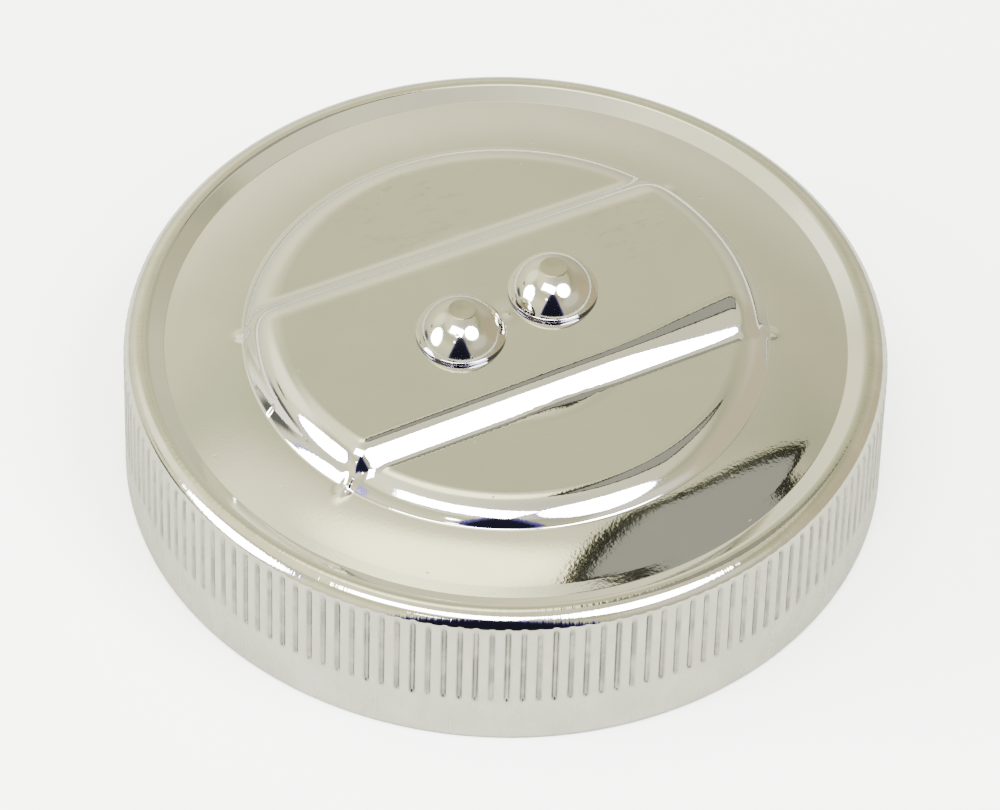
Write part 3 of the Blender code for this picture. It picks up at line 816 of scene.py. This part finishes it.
# bent and coiled pieces
def sheetPiece(name, points, quads, body, material, node, size, segments):
    # a quad surface given half its thickness either side, then its sharp edges rounded
    mesh = bpy.data.meshes.new(name)
    mesh.from_pydata((points * mm).tolist(), [], quads.tolist())
    mesh.shade_smooth()
    piece = addPiece(name, mesh, body, material, [node])
    solid = piece.modifiers.new("thickness", "SOLIDIFY")
    solid.thickness, solid.offset = size["thickness"] * mm, 0
    bevel = piece.modifiers.new("edges", "BEVEL")
    bevel.width, bevel.segments = size["edge"] * mm, segments
    bevel.limit_method, bevel.angle_limit = "ANGLE", 0.9
    return piece


coil = {"radius": 2.4, "wire": 0.18, "turns": 3, "perTurn": 48, "sides": 12}


def makeCoil():
    # helix c(t) = (R cos t, R sin t, z0 + p t), with a ring of wire radius in the plane of its two normals
    low, high = (corner.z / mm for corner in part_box("vent_spring"))
    centre = middle("vent_cage")
    t = np.linspace(0, coil["turns"] * tau, coil["turns"] * coil["perTurn"] + 1)
    out = np.stack((np.cos(t + lockTurn), np.sin(t + lockTurn), 0 * t), 1)
    path = out * coil["radius"] + np.array((centre.x, centre.y, 0))
    path[:, 2] = low + coil["wire"] + (high - low - 2 * coil["wire"]) * t / t[-1]
    a = -np.arange(coil["sides"]) * tau / coil["sides"]
    section = np.cos(a)[:, None] * out[:, None] + np.sin(a)[:, None] * (0, 0, 1.0)
    tube = path[:, None] + coil["wire"] * section
    points = np.concatenate((path[:1, None] + 0 * tube[:1], tube, path[-1:, None] + 0 * tube[-1:]))
    mesh = gridMesh("ventSpring", points, None, False, True, True)
    piece = addPiece("ventSpring", mesh, None, springSteel, ["vent_spring"])
    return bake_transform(piece)


makeCoil()


lockBar = {"thickness": 1.6, "edge": 0.35, "halfWidth": 8.8, "lugHalfWidth": 7.5, "narrowing": (19.5, 24.0),
           "bend": (20.0, 23.2), "bendSoft": 0.7, "tipStart": 26.2, "tipFillet": 2.8}


def makeLockBar():
    # point(u, v) = (x(u), v w(u), z(u)), turned with the rivets; w narrows by a quarter circle at each tip
    low, high = boxOf("lock_bar")
    raised, lowered = high.z - lockBar["thickness"] / 2, low.z + lockBar["thickness"] / 2
    tipStart, fillet = lockBar["tipStart"], lockBar["tipFillet"]
    tip = tipStart + fillet * np.sin(np.linspace(0, math.pi / 2, 9))
    x = np.concatenate((stations((0, 19, 8), (19, 24.4, 16), (24.4, tipStart, 3))[:-1], tip))
    x = np.concatenate((-x[:0:-1], x))
    far = np.abs(x)
    narrower = lockBar["lugHalfWidth"] - lockBar["halfWidth"]
    width = lockBar["halfWidth"] + narrower * ramp(far, *lockBar["narrowing"])
    drop = np.sqrt(np.clip(fillet ** 2 - np.clip(far - tipStart, 0, None) ** 2, 0, None))
    width = width - (fillet - drop)
    bendFrom, bendTo = lockBar["bend"]
    z = raised + (lowered - raised) * ramp(far, bendFrom - lockBar["bendSoft"], bendTo + lockBar["bendSoft"])
    v = np.linspace(-1, 1, 9)
    flat = np.stack((x[:, None] + 0 * v, width[:, None] * v, z[:, None] + 0 * v), -1)
    cosT, sinT = math.cos(lockTurn), math.sin(lockTurn)
    points = np.stack((flat[..., 0] * cosT - flat[..., 1] * sinT, flat[..., 0] * sinT + flat[..., 1] * cosT,
                       flat[..., 2]), -1)
    index = np.arange(points.shape[0] * points.shape[1]).reshape(points.shape[:2])
    quads = np.stack((index[:-1, :-1], index[1:, :-1], index[1:, 1:], index[:-1, 1:]), -1).reshape(-1, 4)
    piece = sheetPiece("lockBar", points.reshape(-1, 3), quads, "cap", zincSteel, "lock_bar",
                       lockBar, 3)
    places = [tuple(place[:2]) for place in rivetPlaces.values()]
    boreHoles(piece, places, rivet["shank"] + clearance, low.z - 1, high.z + 1)
    return piece


makeLockBar()


star = {"inner": 12.5, "hub": 16.0, "tip": 30.5, "riseEnd": 29.2, "thickness": 0.5, "edge": 0.1,
        "fingers": 6, "halfAngle": 0.2, "columnsPerFinger": 48, "hubRows": 5, "fingerRows": 22}


def makeStarSpring():
    # hub ring and fingers: point(u, v) = (r(u) cos v, r(u) sin v, z(r)), z rising by a smooth step from the
    # hub; past the hub, only the quads within halfAngle of a finger's middle are kept
    low, high = boxOf("star_spring")
    z0, z1 = low.z + star["thickness"] / 2, high.z - star["thickness"] / 2
    count = star["fingers"] * star["columnsPerFinger"]
    r = stations((star["inner"], star["hub"], star["hubRows"]),
                 (star["hub"], star["tip"], star["fingerRows"]))
    t = np.arange(count) * tau / count
    rr, tt = np.meshgrid(r, t, indexing="ij")
    points = np.stack((rr * np.cos(tt + lockTurn), rr * np.sin(tt + lockTurn),
                       z0 + (z1 - z0) * ramp(rr, star["hub"], star["riseEnd"])), -1)
    index = np.arange(rr.size).reshape(rr.shape)
    quads = np.stack((index[:-1], index[1:], np.roll(index[1:], -1, 1), np.roll(index[:-1], -1, 1)), -1)
    pitch = tau / star["fingers"]
    off = np.abs((t + pitch / count * star["fingers"] / 2) % pitch - pitch / 2)
    hubQuads = np.arange(len(r) - 1)[:, None] < star["hubRows"] - 1
    keep = hubQuads | (off[None, :] < star["halfAngle"])
    quads = quads[keep]
    used, flat = np.unique(quads, return_inverse=True)
    piece = sheetPiece("starSpring", points.reshape(-1, 3)[used], flat.reshape(-1, 4), None, springSteel,
                       "star_spring", star, 2)
    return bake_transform(piece)


makeStarSpring()
print("lock bar and springs made")

# camera, floor and studio
camera = {"azimuth": 27.4, "elevation": 47.26, "distance": 0.80, "lens": 271.14, "roll": 1.728,
          "aimRight": -0.436, "aimUp": 5.019}
heading = math.radians(camera["azimuth"])
away = Vector((math.sin(heading), math.cos(heading), 0))       # level direction from the camera to the cap
rightward = Vector((math.cos(heading), -math.sin(heading), 0))


def makeCamera():
    # eye = distance * toward; it looks at a point aimRight across and aimUp up in its own view, then rolls
    lift = math.radians(camera["elevation"])
    toward = -away * math.cos(lift) + Vector((0, 0, math.sin(lift)))
    upward = away * math.sin(lift) + Vector((0, 0, math.cos(lift)))
    aim = rightward * camera["aimRight"] * mm + upward * camera["aimUp"] * mm
    eye = toward * camera["distance"]
    data = bpy.data.cameras.new("camera")
    data.lens, data.sensor_width, data.clip_start, data.clip_end = camera["lens"], 36.0, 0.01, 20.0
    view = newObject("camera", data)
    view.location = eye
    turn = (aim - eye).to_track_quat("-Z", "Y").to_matrix()
    spin = turn @ Matrix.Rotation(math.radians(camera["roll"]), 3, "Z")
    view.rotation_euler = spin.to_euler()
    bpy.context.scene.camera = view


makeCamera()


def directionAt(azimuth, elevation):
    # azimuth counts clockwise from the level view direction, elevation up from the floor
    a, e = math.radians(azimuth), math.radians(elevation)
    return (away * math.cos(a) + rightward * math.sin(a)) * math.cos(e) + Vector((0, 0, math.sin(e)))


# softboxes seen in the plate: aim is azimuth and elevation, spread the half angles, glow the brightness
lamps = {
    "leftLamp": {"aim": (-105, 27), "spread": (15, 19), "turn": 35, "glow": 26, "shape": "ELLIPSE"},
    "windowLamp": {"aim": (-155, 68), "spread": (16, 9), "turn": 0, "glow": 26, "shape": "RECTANGLE"},
    "rightLamp": {"aim": (129, 57), "spread": (16, 16), "turn": 0, "glow": 30, "shape": "ELLIPSE"},
    "catchLamp": {"aim": (-160, 42), "spread": (2, 2), "turn": 0, "glow": 20, "shape": "ELLIPSE"},
}
lampTarget = Vector((0, 0, 0.015))
lampDistance = 1.0
floorLamp = {"height": 1.4, "size": 1.6, "power": 60.0}


def addLamp(name, where, facing, turn, shape, size, power, glossy):
    # an area lamp at where, turned to face a point; no camera sees it, and mirrors do if glossy
    data = bpy.data.lights.new(name, "AREA")
    data.shape, data.energy = shape, power
    data.size, data.size_y = size
    lamp = newObject(name, data)
    lamp.location = where
    facingTurn = (facing - where).to_track_quat("-Z", "Y").to_matrix()
    lamp.rotation_euler = (facingTurn @ Matrix.Rotation(math.radians(turn), 3, "Z")).to_euler()
    lamp.visible_camera = False
    lamp.visible_glossy = glossy
    return lamp


def makeLamps():
    # power = glow * pi * area, which gives the lamp's face that brightness
    for name, lamp in lamps.items():
        size = [2 * lampDistance * math.tan(math.radians(a)) for a in lamp["spread"]]
        area = size[0] * size[1] * (math.pi / 4 if lamp["shape"] == "ELLIPSE" else 1)
        where = directionAt(*lamp["aim"]) * lampDistance
        power = lamp["glow"] * math.pi * area
        addLamp(name, where, lampTarget, lamp["turn"], lamp["shape"], size, power, True)
    overhead = Vector((0, 0, floorLamp["height"]))
    size = (floorLamp["size"], floorLamp["size"])
    addLamp("floorLamp", overhead, Vector((0, 0, 0)), 0, "RECTANGLE", size, floorLamp["power"], False)


makeLamps()

tent = {
    "levels": ((-1.0, (0.9, 0.9, 0.82)), (0.0, (0.95, 0.92, 0.66)), (0.45, (1.22, 1.15, 0.74)),
               (0.68, (0.90, 0.86, 0.52)), (0.76, (0.76, 0.75, 0.45)), (0.84, (1.35, 1.27, 0.82)),
               (0.95, (1.4, 1.32, 0.92)), (1.0, (1.2, 1.12, 0.84))),
    "sideSpan": (-0.35, 0.35),
    "sideLift": (1.3, 0.8),
    "camera": {"foot": 0.5, "narrowing": 0.235, "top": 1.6, "color": (0.014, 0.014, 0.03),
               "fringe": (0.15, 0.12, 0.45), "fringeSpan": (-0.03, 0.01), "darkSpan": (0.01, 0.07)},
    "backdrop": (7.5, 7.5, 7.4),
}
# ovals of tone on the tent, later ones over earlier ones:
# azimuth, elevation, half width, half height, where the edge starts to fade, color
ovals = (
    (-62, 40, 22, 20, 0.4, (2.2, 2.1, 1.5)),
    (72, 18, 34, 32, 0.5, (0.82, 0.70, 0.44)),
    (125, 28, 26, 16, 0.6, (1.25, 1.15, 0.95)),
    (-8, 66, 11, 10, 0.4, (3.6, 3.5, 2.0)),
    (-82, 3, 15, 7, 0.4, (0.16, 0.16, 0.14)),
    (-74, 21, 6, 3, 0.3, (0.10, 0.10, 0.09)),
    (-105, 27, 19, 22, 0.86, (0.75, 0.68, 1.3)),
    (-155, 68, 19, 12, 0.86, (0.75, 0.68, 1.3)),
    (129, 57, 19, 19, 0.86, (0.75, 0.68, 1.3)),
)
panel = {"middle": (0.24, 0.54), "half": (0.165, 0.20), "border": 0.84, "borderSoft": 0.05,
         "outline": (0.97, 1.03), "color": (0.44, 0.43, 0.34), "edge": (0.03, 0.03, 0.02)}


def makeTent():
    # brightness by direction: a ramp over elevation, then ovals by sqrt(across^2 + up^2), then a framed panel
    # by max(|across|, |ahead|) on a level ceiling, then the dark of the camera; camera rays see pale paper
    world = bpy.data.worlds.new("lightTent")
    bpy.context.scene.world = world
    world.use_nodes = True
    tree = world.node_tree
    tree.nodes.clear()
    wire = Wiring(tree)
    look = tree.nodes.new("ShaderNodeTexCoord").outputs["Generated"]

    def along(direction):
        node = tree.nodes.new("ShaderNodeVectorMath")
        node.operation = "DOT_PRODUCT"
        tree.links.new(look, node.inputs[0])
        node.inputs[1].default_value = direction
        return node.outputs["Value"]

    climb = along((0, 0, 1))
    color = None
    levels = tent["levels"]
    for (lowAt, lowColor), (highAt, highColor) in zip(levels, levels[1:]):
        share = wire.between(climb, lowAt, highAt)
        color = wire.mix(share, color if color else (*lowColor, 1), (*highColor, 1))
    sideTone = wire.between(along(rightward), *tent["sideSpan"], *tent["sideLift"])
    color = wire.mix(1.0, color, sideTone, "MULTIPLY")
    for azimuth, elevation, width, height, edge, tone in ovals:
        ahead = directionAt(azimuth, elevation)
        level = directionAt(azimuth + 90, 0)
        steep = directionAt(azimuth, elevation + 90)
        far = wire.times(along(level), 1 / math.sin(math.radians(width)))
        high = wire.times(along(steep), 1 / math.sin(math.radians(height)))
        reach = wire.math("SQRT", wire.math("ADD", wire.math("POWER", wire.math("ABSOLUTE", far), 2.0),
                                            wire.math("POWER", wire.math("ABSOLUTE", high), 2.0)))
        inFront = wire.between(along(ahead), 0.0, 0.1)
        mask = wire.times(wire.between(reach, edge, 1.0, 1.0, 0.0), inFront)
        color = wire.mix(mask, color, (*tone, 1))
    up = wire.math("MAXIMUM", climb, 0.05)
    offsets = [wire.math("DIVIDE", along(axis), up) for axis in (rightward, away)]
    parts = [wire.math("DIVIDE", wire.math("ABSOLUTE", wire.math("SUBTRACT", offset, centre)), half)
             for offset, centre, half in zip(offsets, panel["middle"], panel["half"])]
    reach = wire.math("MAXIMUM", *parts)
    color = wire.mix(wire.between(reach, *panel["outline"], 1.0, 0.0), color, (*panel["edge"], 1))
    paneMask = wire.between(reach, panel["border"] - panel["borderSoft"], panel["border"], 1.0, 0.0)
    color = wire.mix(paneMask, color, (*panel["color"], 1))
    back = along(-away)
    figure = tent["camera"]
    spare = wire.math("SUBTRACT", wire.times(back, figure["foot"]),
                      wire.math("ADD", wire.times(climb, figure["narrowing"]),
                                wire.math("ABSOLUTE", along(rightward))))
    top = wire.math("SUBTRACT", wire.times(back, figure["top"]), climb)
    inside = wire.math("MINIMUM", spare, top)
    color = wire.mix(wire.between(inside, *figure["fringeSpan"]), color, (*figure["fringe"], 1))
    color = wire.mix(wire.between(inside, *figure["darkSpan"]), color, (*figure["color"], 1))
    glow = tree.nodes.new("ShaderNodeBackground")
    tree.links.new(color, glow.inputs["Color"])
    paper = tree.nodes.new("ShaderNodeBackground")
    paper.inputs["Color"].default_value = (*tent["backdrop"], 1)
    swap = tree.nodes.new("ShaderNodeMixShader")
    tree.links.new(tree.nodes.new("ShaderNodeLightPath").outputs["Is Camera Ray"], swap.inputs[0])
    tree.links.new(glow.outputs[0], swap.inputs[1])
    tree.links.new(paper.outputs[0], swap.inputs[2])
    tree.links.new(swap.outputs[0], tree.nodes.new("ShaderNodeOutputWorld").inputs[0])


makeTent()

floorPaper = {"size": 3.0, "seen": (0.90, 0.90, 0.89), "mirrored": (0.26, 0.26, 0.22)}


def makeFloor():
    # a level square sheet of paper, darker to mirrors than to the camera
    mesh = bpy.data.meshes.new("floor")
    half = floorPaper["size"]
    corners = [(-half, -half, 0), (half, -half, 0), (half, half, 0), (-half, half, 0)]
    mesh.from_pydata(corners, [], [(0, 1, 2, 3)])
    floor = newObject("floor", mesh)
    material, tree, shader, wire, place = startMaterial("floorPaper", floorPaper["seen"], 0.9, 0.0)
    shader.inputs["Specular IOR Level"].default_value = 0.0
    path = tree.nodes.new("ShaderNodeLightPath").outputs["Is Glossy Ray"]
    tone = wire.mix(path, (*floorPaper["seen"], 1), (*floorPaper["mirrored"], 1))
    tree.links.new(tone, shader.inputs["Base Color"])
    mesh.materials.append(material)


makeFloor()
print("camera and studio made")
